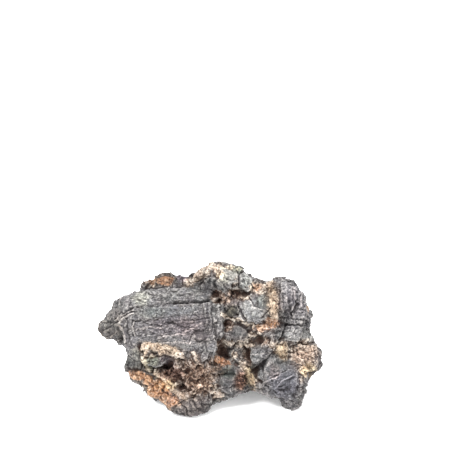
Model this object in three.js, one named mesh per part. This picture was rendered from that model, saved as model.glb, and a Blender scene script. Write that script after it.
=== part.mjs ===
// A broken piece of dark bedded limestone, crusted with calcite and rust, that stands on its own feet.
// Units are millimetres and +Z is up. The origin is the middle of the rock's box, on the surface that it
// stands on, and the rock's best side faces -Y.
import * as THREE from "three";
import { ImprovedNoise } from "three/addons/math/ImprovedNoise.js";
import { mergeVertices } from "three/addons/utils/BufferGeometryUtils.js";

// Driving dimensions of the whole rock
const WIDTH = 150;
const DEPTH = 94;
const HEIGHT = 90;

// The bedded block on the upper left, whose broken face leans back
const BED_THICKNESS = 11.3;
const BED_STEPS = [0.6, -0.9, 0.5, -0.6]; // how far each bed's face stands out, from the lowest bed up
const BED_LEAN = 43; // degrees from level
const BED_TURN = -3; // degrees
const BEDDED_FACE = new THREE.Vector3(-23, -17, 58.5); // the middle of the face
const BEDS_HALF = { across: 32, up: 21.6, deep: 16 };
const BED_FILLET = 3;

// The rock's edge as its best side is seen from 30 degrees above level: across and up, from the left tip
const SIGHT_HEIGHT = THREE.MathUtils.degToRad(30);
const EDGE = [
  [-72, 35.5], [-69, 40], [-61, 48], [-57, 57], [-41, 59.5], [-38, 69], [-33.5, 71], [-26.5, 71.5],
  [-22.5, 65], [-17, 71], [-13, 63.5], [-3, 76], [2, 80], [12.5, 76.5], [17.5, 72.5], [21.5, 70.5],
  [25.5, 62], [37.5, 67], [48.5, 70], [52, 61], [60.5, 52], [66.5, 41.5], [58.5, 37.5], [63, 33],
  [58, 28.5], [64.5, 21.5], [71.5, 17], [69, 11], [63, 8], [58.5, 1], [60.5, -12], [55.5, -18.5], [50, -13.5],
  [40.5, -5.5], [32, -5.5], [19.5, -3.5], [9, -6], [-1.5, -15.5], [-8.5, -13], [-14.5, -18], [-22, -17],
  [-24.5, -12.5], [-36, -15], [-38, -9], [-39, -5], [-39.5, 0.5], [-41.5, 6], [-53, 7], [-51, 16],
  [-57, 27.5], [-68, 32],
].map(([across, up]) => new THREE.Vector2(across, up));

// Broken lumps that have grown together. Radii are half sizes, turns are degrees about X, Y and Z, a higher
// power is a squarer lump, and chips are the planes that it has broken along.
const LUMPS = {
  heart: { at: [2, 14, 35], radii: [55, 30, 32], chips: 8, seed: 3 },
  backLeft: { at: [-34, 22, 22], radii: [28, 22, 26], seed: 23 },
  backRight: { at: [34, 23, 22], radii: [28, 22, 26], seed: 24 },
  backTop: { at: [-4, 22, 50], radii: [40, 20, 26], seed: 25 },
  middleRight: { at: [39, -8, 44], radii: [24, 14, 20], seed: 28 },
  gully: { at: [34, -12, 19], radii: [17, 14, 15], seed: 29 },
  leftBack: { at: [-48, 14, 33], radii: [17, 16, 20], seed: 30 },
  leftFoot: { at: [-11, -31, 9], radii: [16, 14, 14], seed: 5 },
  pittedFront: { at: [-15, -21, 24], radii: [26, 15, 20], seed: 6 },
  rustyCorner: { at: [-37, -19, 14], radii: [19, 14, 15], seed: 7 },
  leftShoulder: { at: [-47, -10, 28], radii: [12, 13, 13], seed: 8 },
  leftWing: { at: [-59, 6, 46], radii: [19, 15, 16], turn: [0, -10, -15], power: 3.4, seed: 9 },
  rightFoot: { at: [48, -25, 14], radii: [17, 14, 20], power: 3.4, seed: 11 },
  rightTip: { at: [62, -7, 25], radii: [15, 15, 13], seed: 12 },
  rightMiddle: { at: [55, -5, 39], radii: [13, 14, 8], power: 5, seed: 13 },
  upperRight: { at: [51, 5, 58], radii: [18, 18, 19], seed: 14 },
  crown: { at: [8, 5, 74], radii: [13, 12, 14], seed: 15 },
  tanRidge: { at: [-7, 7, 77], radii: [16, 7, 7], turn: [0, -35, 0], seed: 16 },
  rustKnob: { at: [-30, 9, 70], radii: [12, 10, 10], seed: 17 },
  topSlab: { at: [23, 9, 75], radii: [8, 10, 10], turn: [0, 25, 0], power: 4, seed: 18 },
  middlePlate: { at: [27, -12, 54], radii: [12, 8, 12], turn: [25, 0, 0], power: 4, seed: 19 },
  veinRidge: { at: [40, -10, 58], radii: [5, 8, 16], turn: [20, 0, 0], seed: 26 },
  middleLump: { at: [18, -17, 47], radii: [10, 9, 9], seed: 20 },
  slantedSlab: { at: [33, -22, 36], radii: [14, 10, 8], turn: [0, -28, 0], power: 3.6, seed: 21 },
  lowerLens: { at: [13, -27, 22], radii: [10, 9, 12], seed: 22 },
  crustLip: { at: [-31, -31, 42], radii: [19, 7, 5], seed: 27 },
};
const HOLLOWS = {
  shaft: { at: [8, -24, 42], radii: [4, 9, 9], power: 2, chips: 0 },
  darkHollow: { at: [9, -3, 68], radii: [7, 6, 5], power: 2, chips: 0 },
  underside: { at: [7, 10, -9], radii: [25, 60, 18], power: 2, chips: 0 },
};
const LUMP_FILLET = 5;
const HOLLOW_FILLET = 2;
const EDGE_FILLET = 5;

// Roughness of the broken faces
const ROLL = { height: 1.3, length: 18 };
const CHIP = { length: 15, height: 2, lean: 9, crispness: 9 }; // lean is millimetres of rise over a length
const CHIP_PLANES = { nearest: 0.74, furthest: 0.94 }; // shares of how far the unbroken lump goes
const FAR_FROM_LUMP = 1.8; // times its longest half size
const BEDS_ROLL = 0.3; // share of the rolling that the bedded face has
const EDGE_WOBBLE = { depth: 3, length: 24 };
const EDGE_SPARE = 1.5; // what the fillets take off the edge

// The skin that is shrunk onto the rock
const CUTS = 21; // along each edge of the icosahedron that it starts as
const BALL_SPARE = 1.12; // how much larger than the rock the ball starts
const STEPS = 110;
const LAST_STEPS = 5; // in which the vertices slide less, so that the crests stay sharp
const SLIDE = { first: 0.6, last: 0.2 };
const SHRINK = 0.5; // share of the distance to the rock that one step goes
const LONGEST_STEP = 4;
const FINER_TOWARDS_FRONT = 160; // millimetres over which the triangles coarsen

const perlin = new ImprovedNoise();

// Smooth noise from about -1 to 1, with bumps as long as the wavelength.
function roll(p, wavelength, seed) {
  const shift = 17.3 * seed + 0.37;
  return perlin.noise(p.x / wavelength + shift, p.y / wavelength - shift, p.z / wavelength + 0.5 * shift);
}

// The lower of two distances, with a fillet where they meet.
function joined(a, b, fillet) {
  const h = Math.max(fillet - Math.abs(a - b), 0) / fillet;
  return Math.min(a, b) - (h * h * fillet) / 4;
}

const common = (a, b, fillet) => -joined(-a, -b, fillet);

function turnOf(degrees) {
  return new THREE.Quaternion().setFromEuler(new THREE.Euler(...degrees.map(THREE.MathUtils.degToRad)));
}

// Random planes that a lump has broken along, each at a share of how far the unbroken lump goes its way.
function chipPlanes(count, seed, size) {
  THREE.MathUtils.seededRandom(seed);
  return Array.from({ length: count }, () => {
    const [x, y, z, random] = Array.from({ length: 4 }, () => THREE.MathUtils.seededRandom());
    const normal = new THREE.Vector3(x - 0.5, y - 0.5, z - 0.5).normalize();
    const share = THREE.MathUtils.lerp(CHIP_PLANES.nearest, CHIP_PLANES.furthest, random);
    const reach = share * normal.clone().multiply(size).length();
    return { normal, reach };
  });
}

function lump({ at, radii, turn = [0, 0, 0], power = 2.6, chips = 7, seed = 1 }) {
  const size = new THREE.Vector3(...radii);
  return {
    centre: new THREE.Vector3(...at),
    size,
    back: turnOf(turn).invert(),
    planes: chipPlanes(chips, seed, size),
    power,
    least: Math.min(...radii),
    most: Math.max(...radii),
  };
}

// How far a point is outside a lump, negative inside it.
const local = new THREE.Vector3();
function lumpDistance(p, { centre, size, back, planes, power, least, most }) {
  local.copy(p).sub(centre);
  const far = local.length() - FAR_FROM_LUMP * most;
  if (far > LUMP_FILLET) return far;
  local.applyQuaternion(back);
  const [x, y, z] = [local.x / size.x, local.y / size.y, local.z / size.z].map(Math.abs);
  const sum = x ** power + y ** power + z ** power;
  let distance = (sum ** (1 / power) - 1) * least;
  for (const { normal, reach } of planes) distance = Math.max(distance, local.dot(normal) - reach);
  return distance;
}

// The bedded block: a box that leans back, whose beds step in and out.
const BEDS_BACK = turnOf([BED_LEAN, 0, BED_TURN]).invert();
function beddedDistance(p) {
  local.copy(p).sub(BEDDED_FACE).applyQuaternion(BEDS_BACK);
  const bed = THREE.MathUtils.clamp(Math.floor(local.y / BED_THICKNESS) + 2, 0, BED_STEPS.length - 1);
  const fading = 1 - THREE.MathUtils.smoothstep(Math.abs(local.x), 0.6 * BEDS_HALF.across, BEDS_HALF.across);
  const out = local.z - fading * BED_STEPS[bed];
  const across = Math.abs(local.x) - BEDS_HALF.across;
  const up = Math.abs(local.y) - BEDS_HALF.up;
  const deep = Math.abs(out + BEDS_HALF.deep) - BEDS_HALF.deep;
  return common(common(across, up, BED_FILLET), deep, BED_FILLET);
}

// How far a point is outside the rock's edge as it is seen, negative inside it.
function edgeDistance(p) {
  const x = p.x;
  const y = p.y * Math.sin(SIGHT_HEIGHT) + p.z * Math.cos(SIGHT_HEIGHT);
  let nearest = Infinity;
  let inside = false;
  for (let i = 0; i < EDGE.length; i++) {
    const a = EDGE[i];
    const b = EDGE[(i + 1) % EDGE.length];
    const along = b.x - a.x;
    const up = b.y - a.y;
    const t = ((x - a.x) * along + (y - a.y) * up) / (along * along + up * up);
    const share = Math.min(Math.max(t, 0), 1);
    const [dx, dy] = [x - a.x - share * along, y - a.y - share * up];
    nearest = Math.min(nearest, dx * dx + dy * dy);
    if (a.y > y !== b.y > y && x - a.x < (along * (y - a.y)) / up) inside = !inside;
  }
  return inside ? -Math.sqrt(nearest) : Math.sqrt(nearest);
}

const lumps = Object.values(LUMPS).map(lump);
const hollows = Object.values(HOLLOWS).map(lump);

// The rock's distance without the roughness of its faces.
function shapeDistance(p) {
  let distance = beddedDistance(p);
  for (const one of lumps) distance = joined(distance, lumpDistance(p, one), LUMP_FILLET);
  const wobble = EDGE_WOBBLE.depth * Math.abs(roll(p, EDGE_WOBBLE.length, 9)) - EDGE_SPARE;
  distance = common(distance, edgeDistance(p) + wobble, EDGE_FILLET);
  for (const one of hollows) distance = common(distance, -lumpDistance(p, one), HOLLOW_FILLET);
  return distance;
}

// A random number from 0 to 1 that belongs to a cell of the grid.
function cellRandom(x, y, z, seed) {
  const mixed = Math.sin(x * 127.1 + y * 311.7 + z * 74.7 + seed * 53.3) * 43758.5453;
  return mixed - Math.floor(mixed);
}

// Flat chips: the faces around each cell's own seed point stand a little out or in and lean their own way.
function chipping(p) {
  const scaled = [p.x / CHIP.length, p.y / CHIP.length, p.z / CHIP.length];
  const base = scaled.map(Math.floor);
  let weights = 0;
  let heights = 0;
  for (let i = 0; i < 27; i++) {
    const x = base[0] + (i % 3) - 1;
    const y = base[1] + (Math.floor(i / 3) % 3) - 1;
    const z = base[2] + Math.floor(i / 9) - 1;
    const dx = scaled[0] - x - cellRandom(x, y, z, 0);
    const dy = scaled[1] - y - cellRandom(x, y, z, 1);
    const dz = scaled[2] - z - cellRandom(x, y, z, 2);
    const weight = Math.exp(-CHIP.crispness * (dx * dx + dy * dy + dz * dz));
    const [leanX, leanY, leanZ] = [3, 4, 5].map((seed) => CHIP.lean * (cellRandom(x, y, z, seed) - 0.5));
    const height = CHIP.height * (2 * cellRandom(x, y, z, 6) - 1);
    weights += weight;
    heights += weight * (height + leanX * dx + leanY * dy + leanZ * dz);
  }
  return heights / weights;
}

// How far the roughness of the broken faces stands out. The bedded face stays smoother than the rest.
function roughness(p) {
  const offBeds = THREE.MathUtils.smoothstep(beddedDistance(p), -1, 3);
  const rolling = THREE.MathUtils.lerp(BEDS_ROLL, 1, offBeds) * ROLL.height;
  return offBeds * chipping(p) + rolling * roll(p, ROLL.length, 1);
}

// The slope of the rock's shape at a point, as a unit vector that points out of it.
const SLOPE_REACH = 1.2;
const probe = new THREE.Vector3();
function outward(p, here, target) {
  const rises = [0, 1, 2].map((axis) => {
    probe.copy(p).setComponent(axis, p.getComponent(axis) + SLOPE_REACH);
    return shapeDistance(probe) - here;
  });
  return target.set(...rises).normalize();
}

// For every vertex, the vertices that share an edge with it.
function neighboursOf(geometry) {
  const neighbours = Array.from({ length: geometry.attributes.position.count }, () => new Set());
  const { array } = geometry.index;
  for (let i = 0; i < array.length; i += 3) {
    const [a, b, c] = array.subarray(i, i + 3);
    neighbours[a].add(b).add(c);
    neighbours[b].add(a).add(c);
    neighbours[c].add(a).add(b);
  }
  return neighbours.map((set) => [...set]);
}

// Moves every vertex onto the rock in short steps, and slides it between its neighbours to keep them even.
function shrinkOnto(geometry) {
  const { position } = geometry.attributes;
  const neighbours = neighboursOf(geometry);
  const indices = [...Array(position.count).keys()];
  const points = indices.map((i) => new THREE.Vector3().fromBufferAttribute(position, i));
  const normal = new THREE.Vector3();
  for (let step = 0; step < STEPS; step++) {
    const slide = step < STEPS - LAST_STEPS ? SLIDE.first : SLIDE.last;
    const middles = points.map((p, own) => {
      const middle = new THREE.Vector3();
      let weights = 0;
      for (const i of neighbours[own]) {
        const weight = p.distanceTo(points[i]) * Math.exp(-points[i].y / FINER_TOWARDS_FRONT);
        middle.addScaledVector(points[i], weight);
        weights += weight;
      }
      return middle.divideScalar(weights);
    });
    points.forEach((p, i) => {
      const here = shapeDistance(p);
      outward(p, here, normal);
      const distance = here - roughness(p);
      const pull = middles[i].sub(p);
      pull.addScaledVector(normal, -pull.dot(normal));
      p.addScaledVector(pull, slide);
      p.addScaledVector(normal, -SHRINK * THREE.MathUtils.clamp(distance, -LONGEST_STEP, LONGEST_STEP));
      p.z = Math.max(p.z, 0);
    });
  }
  points.forEach((p, i) => position.setXYZ(i, p.x, p.y, p.z));
}

function rockGeometry() {
  const ball = new THREE.IcosahedronGeometry(1, CUTS);
  ball.deleteAttribute("normal");
  ball.deleteAttribute("uv");
  ball.scale(...[WIDTH, DEPTH, HEIGHT].map((side) => (BALL_SPARE * side) / 2));
  ball.translate(0, 0, HEIGHT / 2);
  const geometry = mergeVertices(ball, 1e-4);
  shrinkOnto(geometry);

  geometry.computeBoundingBox();
  const size = geometry.boundingBox.getSize(new THREE.Vector3());
  const middle = geometry.boundingBox.getCenter(new THREE.Vector3());
  geometry.translate(-middle.x, -middle.y, -geometry.boundingBox.min.z);
  geometry.scale(WIDTH / size.x, DEPTH / size.y, HEIGHT / size.z);
  geometry.computeVertexNormals();
  return geometry;
}

const limestone = new THREE.MeshStandardMaterial({ color: 0x5d5b5e, roughness: 0.85, metalness: 0 });
const stone = new THREE.Mesh(rockGeometry(), limestone);
stone.name = "limestone_rock";

const part = new THREE.Group();
part.add(stone);
export default part;
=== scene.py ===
# %% [markdown]
# # A bedded limestone rock
# This lesson dresses one broken piece of dark limestone. The plain faceted solid comes first, as a fixed
# frame. Its skin is copied, remeshed finely and carved with arrays of numbers: chips, beds, cracks, pits and
# crust. Then one node material paints the stone from what the carving left behind. The scene is in metres,
# and its origin is on the floor, in the middle of the rock's box.

# %% Load the solid and measure it
import itertools
import math

import bmesh
import bpy
import numpy as np
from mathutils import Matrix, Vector


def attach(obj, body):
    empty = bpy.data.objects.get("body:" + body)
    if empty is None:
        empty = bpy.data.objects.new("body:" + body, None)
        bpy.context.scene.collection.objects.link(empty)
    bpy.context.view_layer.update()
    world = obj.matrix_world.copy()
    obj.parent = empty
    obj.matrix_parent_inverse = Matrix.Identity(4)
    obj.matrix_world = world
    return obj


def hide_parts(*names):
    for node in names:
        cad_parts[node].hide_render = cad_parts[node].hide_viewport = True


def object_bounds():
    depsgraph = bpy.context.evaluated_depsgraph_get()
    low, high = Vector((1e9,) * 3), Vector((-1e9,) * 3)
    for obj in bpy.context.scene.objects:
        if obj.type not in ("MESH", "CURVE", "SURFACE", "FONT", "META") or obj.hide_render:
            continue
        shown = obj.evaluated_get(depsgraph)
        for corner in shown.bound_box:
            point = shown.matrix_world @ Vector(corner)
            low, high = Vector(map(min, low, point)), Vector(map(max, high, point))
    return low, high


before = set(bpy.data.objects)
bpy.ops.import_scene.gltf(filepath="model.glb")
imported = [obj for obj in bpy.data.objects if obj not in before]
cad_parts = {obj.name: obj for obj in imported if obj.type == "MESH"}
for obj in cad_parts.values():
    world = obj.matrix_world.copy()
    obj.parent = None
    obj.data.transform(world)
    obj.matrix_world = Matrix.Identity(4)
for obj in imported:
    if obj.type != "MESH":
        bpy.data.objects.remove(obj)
solid_low, solid_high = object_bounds()
MM = 0.001
ROCK_SIZE = (solid_high - solid_low) / MM
print("the solid is", [round(side, 1) for side in ROCK_SIZE], "mm")

# %% [markdown]
# ## The camera comes first
# A rock has no edges to measure from, so its cracks and stains are placed where the camera sees them. The
# camera is a long lens from slightly above, as for a product picture. Its aim and distance are real sizes.

# %% Set up the camera
PICTURE = 452  # picture width and height, in steps
LENS = 100.0
SENSOR = 36.0
AIM = Vector((10.6, 51.4, 94.5)) * MM
LOOK_DOWN = math.radians(25)
DISTANCE = 860 * MM

sight = Vector((0, math.cos(LOOK_DOWN), -math.sin(LOOK_DOWN)))
camera = bpy.data.objects.new("camera", bpy.data.cameras.new("camera"))
camera.data.lens = LENS
camera.data.sensor_width = SENSOR
camera.location = AIM - DISTANCE * sight
camera.rotation_euler = sight.to_track_quat("-Z", "Y").to_euler()
bpy.context.scene.collection.objects.link(camera)
bpy.context.scene.camera = camera
print("camera at", [round(c, 3) for c in camera.location])

# %% [markdown]
# ## Copy the skin and make it fine
# The solid's triangles are about 3 mm across, which is right for its lumps and beds but not for chips and
# crust. Subdividing them would keep their long thin shapes. A voxel remesh rebuilds the same closed skin from
# even faces instead, which are easier to carve. The solid is a loose set of triangles, so its copy is welded
# first.

# %% Remesh a copy of the skin
VOXEL = 1.35 * MM


def plain_mesh(obj, name):
    """The object as it looks with its modifiers, as a mesh of its own."""
    evaluated = obj.evaluated_get(bpy.context.evaluated_depsgraph_get())
    mesh = bpy.data.meshes.new_from_object(evaluated)
    mesh.name = name
    return mesh


def new_object(name, mesh):
    obj = bpy.data.objects.new(name, mesh)
    bpy.context.scene.collection.objects.link(obj)
    return obj


rock = new_object("limestone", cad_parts["limestone_rock"].data.copy())
rock.data.materials.clear()
weld = rock.modifiers.new("weld", "WELD")
weld.merge_threshold = 0.01 * MM
remesh = rock.modifiers.new("remesh", "REMESH")
remesh.mode = "VOXEL"
remesh.voxel_size = VOXEL
fine = plain_mesh(rock, "limestone")
rock.modifiers.clear()
rock.data = fine
print("remeshed skin:", len(fine.vertices), "points")

# %% [markdown]
# ## Split the side that is looked at
# A chip of 2 mm needs faces well below a millimetre, but only where it is seen from close by. So the voxels'
# stair steps are smoothed away, and then each face that is turned to the camera is split into four. The back
# keeps the larger faces, and the whole skin stays below 200,000 triangles.

# %% Split the front faces
CAGE_SMOOTHING = 6  # rounds that take the voxels' stair steps away
TURNED_AWAY = 0.05  # cosine to the line of sight above which a face isn't split

cage = bmesh.new()
cage.from_mesh(fine)
for _ in range(CAGE_SMOOTHING):
    bmesh.ops.smooth_vert(
        cage, verts=cage.verts, factor=0.5, use_axis_x=True, use_axis_y=True, use_axis_z=True
    )
cage.normal_update()
towards = {face for face in cage.faces if face.normal.dot(sight) < TURNED_AWAY}
split = [edge for edge in cage.edges if any(face in towards for face in edge.link_faces)]
bmesh.ops.subdivide_edges(cage, edges=split, cuts=1, use_grid_fill=True)
bmesh.ops.triangulate(cage, faces=[face for face in cage.faces if len(face.verts) > 4])
cage.to_mesh(fine)
cage.free()
triangles = sum(len(face.vertices) - 2 for face in fine.polygons)
print("fine skin:", len(fine.vertices), "points and", triangles, "triangles")

# %% [markdown]
# ## The skin as arrays
# Numpy moves all the points at once, which is far quicker than a loop over vertices. Points are kept in
# millimetres here, since every size on a rock is a few of them. `averaged` lets each point take the mean of
# its neighbours, which smooths places, and also smooths any value that sits on the points.

# %% Points, neighbours and normals
def points_of(mesh):
    flat = np.empty(3 * len(mesh.vertices))
    mesh.vertices.foreach_get("co", flat)
    return flat.reshape(-1, 3) / MM


def put_points(mesh, points):
    mesh.vertices.foreach_set("co", (points * MM).ravel())
    mesh.update()


def normals_of(mesh):
    flat = np.empty(3 * len(mesh.vertices))
    mesh.vertex_normals.foreach_get("vector", flat)
    return flat.reshape(-1, 3)


ends = np.empty(2 * len(fine.edges), dtype=int)
fine.edges.foreach_get("vertices", ends)
ends = np.concatenate([ends.reshape(-1, 2), ends.reshape(-1, 2)[:, ::-1]])
neighbour_count = np.bincount(ends[:, 0])


def averaged(values, rounds):
    """Each point's value after it has been mixed with its neighbours that many times."""
    columns = values.reshape(len(values), -1)
    for _ in range(rounds):
        sums = [np.bincount(ends[:, 0], weights=column[ends[:, 1]]) for column in columns.T]
        columns = (columns + np.stack(sums, axis=1) / neighbour_count[:, None]) / 2
    return columns.reshape(values.shape)


FACET_SMOOTHING = 10  # rounds that take the solid's own facets away
NORMAL_SMOOTHING = 12  # rounds after which neighbouring normals no longer cross in a hollow
points = averaged(points_of(fine), FACET_SMOOTHING)
put_points(fine, points)
broad_normals = averaged(normals_of(fine), NORMAL_SMOOTHING)
broad_normals /= np.linalg.norm(broad_normals, axis=1)[:, None]
print("skin reaches from", points.min(axis=0).round(1), "to", points.max(axis=0).round(1), "mm")

# %% [markdown]
# ## Smooth noise and creases
# Natural stone needs noise, and it has to be the same on every run, so all of it comes from one hash of whole
# numbers and nothing is left unseeded. `roll` is smooth Perlin noise for undulations, and `rough` piles finer
# layers of it on top. `creased` folds it at zero, which leaves sharp crests, as on wrinkled limestone.

# %% Noise and creases
HASH_STEPS = np.array([127.1, 311.7, 74.7])  # any three uneven numbers will do
HASH_SEED_STEP = 53.3
HASH_HEIGHT = 43758.5453
ROLL_SEED_STEP = 19.19  # cells by which each seed's noise is moved away
ROLL_HEIGHT = 2.6  # brings the highest bumps to about 1
CREASE_HEIGHT = 3.4  # how far a crease falls from its crest
CREASE_FINER = 1.9  # times, from one layer of creases to the next
CREASE_LOWER = 1.8
CREASE_SPAN = 1.6  # brings the sum of the layers back to about 1


def hashed(cells, seed):
    """A number from 0 to 1 for each cell."""
    mixed = np.sin(cells @ HASH_STEPS + HASH_SEED_STEP * seed) * HASH_HEIGHT
    return mixed - np.floor(mixed)


def roll(places, length, seed=0):
    """Smooth bumps from about -1 to 1 that are as long as length."""
    scaled = places / length + ROLL_SEED_STEP * seed
    cell = np.floor(scaled)
    within = scaled - cell
    ease = within**3 * (within * (6 * within - 15) + 10)
    total = np.zeros(len(places))
    for corner in itertools.product((0, 1), repeat=3):
        lean = np.stack([hashed(cell + corner, axis) - 0.5 for axis in range(3)], axis=1)
        weight = np.prod(np.where(corner, ease, 1 - ease), axis=1)
        total += weight * ((within - corner) * lean).sum(axis=1)
    return ROLL_HEIGHT * total


def rough(places, length, seed=0, layers=3):
    """Bumps on bumps, each layer half as long and half as high as the one before."""
    return sum(roll(places, length / 2**layer, seed + layer) / 2**layer for layer in range(layers))


def creased(places, length, seed=0, layers=3):
    """Sharp crests on rounded troughs, from about -1 to 1, each layer finer and lower."""
    total = 0
    for layer in range(layers):
        rolling = roll(places, length / CREASE_FINER**layer, seed + layer)
        total = total + (1 - CREASE_HEIGHT * np.abs(rolling)) / CREASE_LOWER**layer
    return total / CREASE_SPAN


print("noise spans", roll(points, 9.0).min().round(2), "to", roll(points, 9.0).max().round(2))
print("creases span", creased(points, 9.0).min().round(2), "to", creased(points, 9.0).max().round(2))

# %% [markdown]
# ## Chips
# Stone breaks off in chips. `chips` splits space into cells round scattered seeds (a Voronoi pattern), and
# each cell leans its own way. Space is warped by noise first, because straight cell edges look cut and not
# broken. A Voronoi texture node would give the cells, but not a lean for each of them.

# %% Chips and ramps
WARP = 0.8  # share of a cell's length by which noise moves a place
CHIP_SEED_STEP = 7.7  # cells by which each seed's pattern is moved away
CHIP_LEAN = 4


def warped(places, length, seed=0):
    """The places moved about by noise, so that a cell pattern laid on them comes out uneven."""
    moves = [rough(places, 1.6 * length, seed + axis, layers=2) for axis in (11, 12, 13)]
    return places + WARP * length * np.stack(moves, axis=1)


def chips(places, length, seed=0):
    """For the nearest seed point of each place: the distance to it, the distance to the edge of its cell,
    its lean as a rise, mostly from -1 to 1, and a random number of its own."""
    scaled = warped(places, length, seed) / length + CHIP_SEED_STEP * seed
    base = np.floor(scaled)
    nearest = np.full(len(places), np.inf)
    second = nearest.copy()
    owner = base.copy()
    offset = base.copy()
    for step in itertools.product((-1, 0, 1), repeat=3):
        cell = base + step
        gap = scaled - cell - np.stack([hashed(cell, axis) for axis in range(3)], axis=1)
        distance = np.linalg.norm(gap, axis=1)
        closer = distance < nearest
        second = np.where(closer, nearest, np.minimum(second, distance))
        nearest = np.where(closer, distance, nearest)
        owner[closer] = cell[closer]
        offset[closer] = gap[closer]
    lean = np.stack([hashed(owner, axis) - 0.5 for axis in (3, 4, 5)], axis=1)
    rise = CHIP_LEAN * (lean * offset).sum(axis=1)
    return nearest * length, (second - nearest) * length, rise, hashed(owner, 6)


def smooth(values, low, high):
    """0 at low, 1 at high, an easy ramp between and held beyond. With low above high it runs down."""
    share = np.clip((values - low) / (high - low), 0, 1)
    return share * share * (3 - 2 * share)


print("leans span", chips(points, 9.0)[2].min().round(2), "to", chips(points, 9.0)[2].max().round(2))

# %% [markdown]
# ## Where the camera sees each point
# `seen` turns points into picture steps, across and down from the picture's upper left corner. A stroke, a
# patch or a polygon is then a few picture places with a name from the rock. It only counts on faces that are
# turned to the camera, so that nothing is printed through onto the back. Noise bends all of them a little,
# because nothing on a rock is drawn with a ruler.

# %% Picture places, strokes and patches
WANDER = 1.6  # steps by which noise bends every stroke and patch


def seen(places):
    away = places * MM - np.array(camera.location)
    up = np.array([0, math.sin(LOOK_DOWN), math.cos(LOOK_DOWN)])
    scale = PICTURE * LENS / SENSOR / (away @ np.array(sight))
    return np.stack([PICTURE / 2 + away[:, 0] * scale, PICTURE / 2 - (away @ up) * scale], axis=1)


to_camera = np.array(camera.location) - points * MM
to_camera /= np.linalg.norm(to_camera, axis=1)[:, None]
facing = smooth((broad_normals * to_camera).sum(axis=1), 0.02, 0.25)
bend = np.stack([rough(points, 7.0, seed) for seed in (31, 32)], axis=1)
picture = seen(points) + WANDER * bend


def from_line(start, end):
    """How far each point is seen from the line between two picture places."""
    along = end - start
    share = np.clip((picture - start) @ along / (along @ along), 0, 1)
    return np.linalg.norm(picture - start - share[:, None] * along, axis=1)


def stroke(places, width):
    """1 along a line of picture places, fading to 0 a width away from it."""
    nearest = np.full(len(picture), np.inf)
    for start, end in itertools.pairwise(np.array(places, dtype=float)):
        nearest = np.minimum(nearest, from_line(start, end))
    return facing * np.exp(-((nearest / width) ** 2))


def patch(middle, radii, turn=0, soft=0.5):
    """1 inside an ellipse of picture steps, fading to 0 at its edge. The turn is in degrees, clockwise."""
    angle = math.radians(turn)
    across, down = (picture - middle).T
    along = (across * math.cos(angle) + down * math.sin(angle)) / radii[0]
    aside = (down * math.cos(angle) - across * math.sin(angle)) / radii[1]
    return facing * (1 - smooth(np.hypot(along, aside), 1 - soft, 1 + soft))


def inside(corners, soft=1.1):
    """1 inside a polygon of picture places, fading to 0 just outside it."""
    corners = np.array(corners, dtype=float)
    nearest = np.full(len(picture), np.inf)
    within = np.zeros(len(picture), dtype=bool)
    for start, end in zip(corners, np.roll(corners, -1, axis=0)):
        along = end - start
        nearest = np.minimum(nearest, from_line(start, end))
        spans = (start[1] > picture[:, 1]) != (end[1] > picture[:, 1])
        crossing = start[0] + (picture[:, 1] - start[1]) * along[0] / (along[1] or 1)
        within ^= spans & (picture[:, 0] < crossing)
    return facing * smooth(np.where(within, nearest, -nearest), -soft, soft)


def strongest(*masks, most=1.0):
    """The highest of several masks at each point, held between 0 and most."""
    return np.clip(np.maximum.reduce(masks), 0, most)


def strokes(named):
    """The strongest of named strokes, each given as its share, places and width."""
    return np.maximum.reduce([share * stroke(*line) for share, *line in named.values()])


def patches(named):
    """The strongest of named patches, each given as its share, middle, radii and maybe turn and softness."""
    return np.maximum.reduce([share * patch(*place) for share, *place in named.values()])


print("the rock is seen across", seen(points).min(axis=0).round(), "to", seen(points).max(axis=0).round())

# %% [markdown]
# ## Which stone is where
# The rock is four stones in one: sound bedded limestone, calcite crust, rust, and a rotten brown pitted
# zone. Each gets a mask from 0 to 1. On the front a mask is built from named strokes and patches. A painted
# image could do the same, but a named place says what it is and can be moved on its own. On the sides and
# back nothing has to be recognised, so broad noise lays the masks out there. The crust comes first: cream
# calcite that water has left on edges and in seams.

# %% Lay out the crust
TAN_RIDGE = [(189, 283), (196, 278), (205, 271), (212, 265)]
VEIN_BAND = [(270, 286), (273, 298), (274, 309), (274, 319)]
CRUST_LIP = [(142, 347), (150, 346), (162, 348), (172, 350), (180, 355)]
CRUST_LOOP = [(146, 351), (144, 359), (147, 367), (156, 372)]
CREAM_RIM = [(156, 373), (163, 380), (172, 390), (183, 397)]
TAN_STRIP = [(193, 353), (196, 360), (203, 366)]
KNOB_RIM = [(223, 314), (231, 319), (240, 320), (249, 325), (257, 328)]
OLIVE_STRIP = [(243, 365), (247, 371), (252, 380), (255, 388)]

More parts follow.
